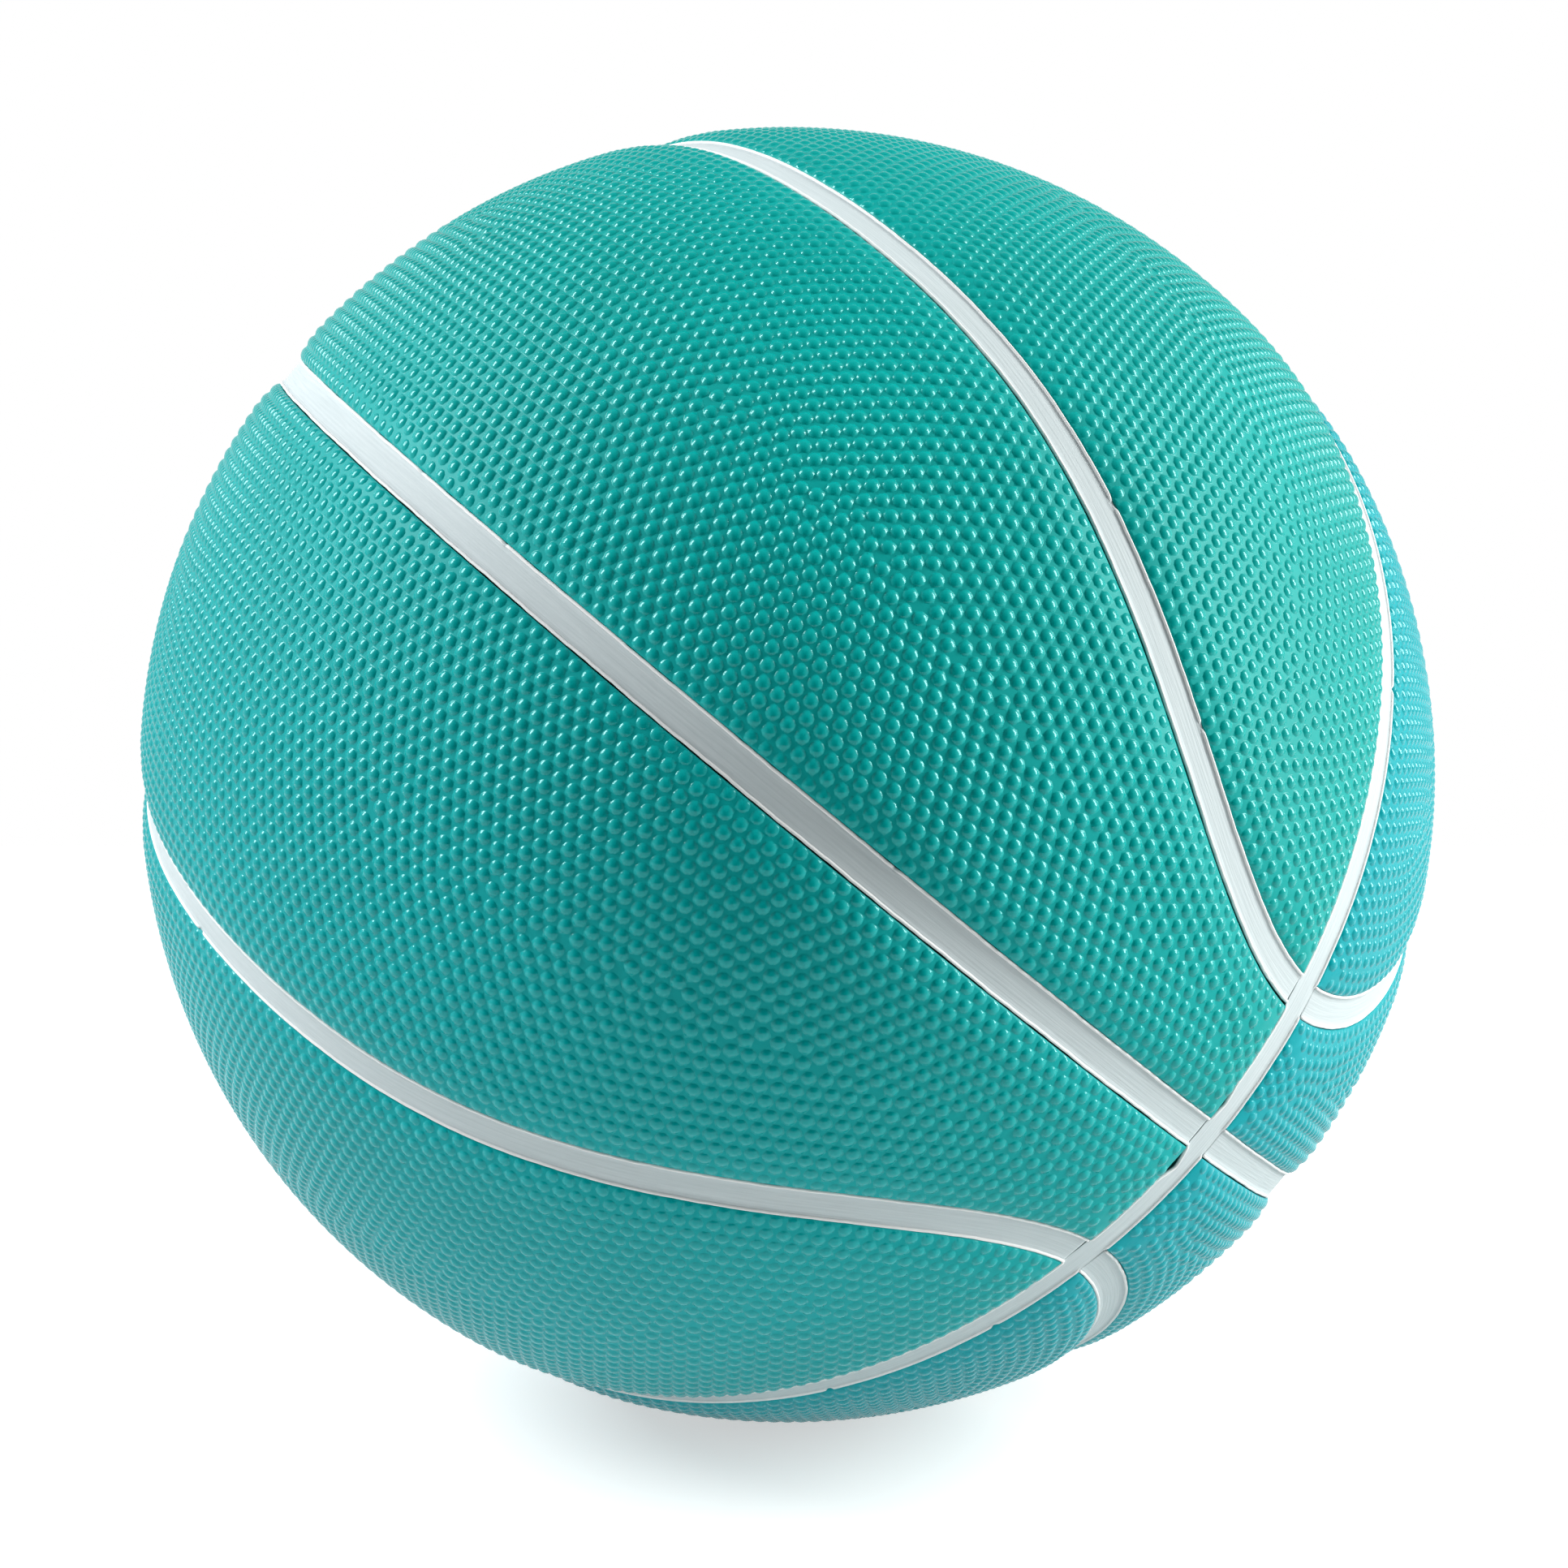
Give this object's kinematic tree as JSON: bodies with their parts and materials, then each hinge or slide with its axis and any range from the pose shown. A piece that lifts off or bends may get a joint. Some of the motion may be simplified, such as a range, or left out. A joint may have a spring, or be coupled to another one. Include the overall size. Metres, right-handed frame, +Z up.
{
  "type": "mini basketball",
  "caption": "Small inflatable ball with pebbled teal rubber panels, recessed white channels between them and a needle valve, for throwing at a small hoop.",
  "frame": {"origin": "centre of the ball", "axes": "+Z up as the ball lies in the picture; -Y faces the camera. The valve faces about (0.71, 0.68, -0.19), behind to the right."},
  "size_m": [0.181, 0.1808, 0.181],
  "materials": {
    "panel_rubber": "moulded teal rubber with a satin gloss and round pebbles",
    "channel_rubber": "painted white, satin, with fine lines along the channel",
    "carcass_rubber": "matt black",
    "winding_thread": "off-white thread, wound all ways and bonded",
    "bladder_rubber": "smooth black",
    "valve_rubber": "smooth black"
  },
  "bodies": {
    "root": {"middle_panel_front_lower": "panel_rubber", "middle_panel_front_upper": "panel_rubber", "middle_panel_rear_lower": "panel_rubber", "middle_panel_rear_upper": "panel_rubber", "side_panel_front_lower": "panel_rubber", "side_panel_front_upper": "panel_rubber", "side_panel_rear_lower": "panel_rubber", "side_panel_rear_upper": "panel_rubber", "equator_channel": "channel_rubber", "meridian_channel_front": "channel_rubber", "meridian_channel_rear": "channel_rubber", "loop_channel_front_lower": "channel_rubber", "loop_channel_front_upper": "channel_rubber", "loop_channel_rear_lower": "channel_rubber", "loop_channel_rear_upper": "channel_rubber", "carcass_valve_half": "carcass_rubber", "carcass_far_half": "carcass_rubber", "thread_winding": "winding_thread", "bladder": "bladder_rubber", "valve_housing": "valve_rubber", "valve_plug": "valve_rubber"}
  },
  "joints": []
}
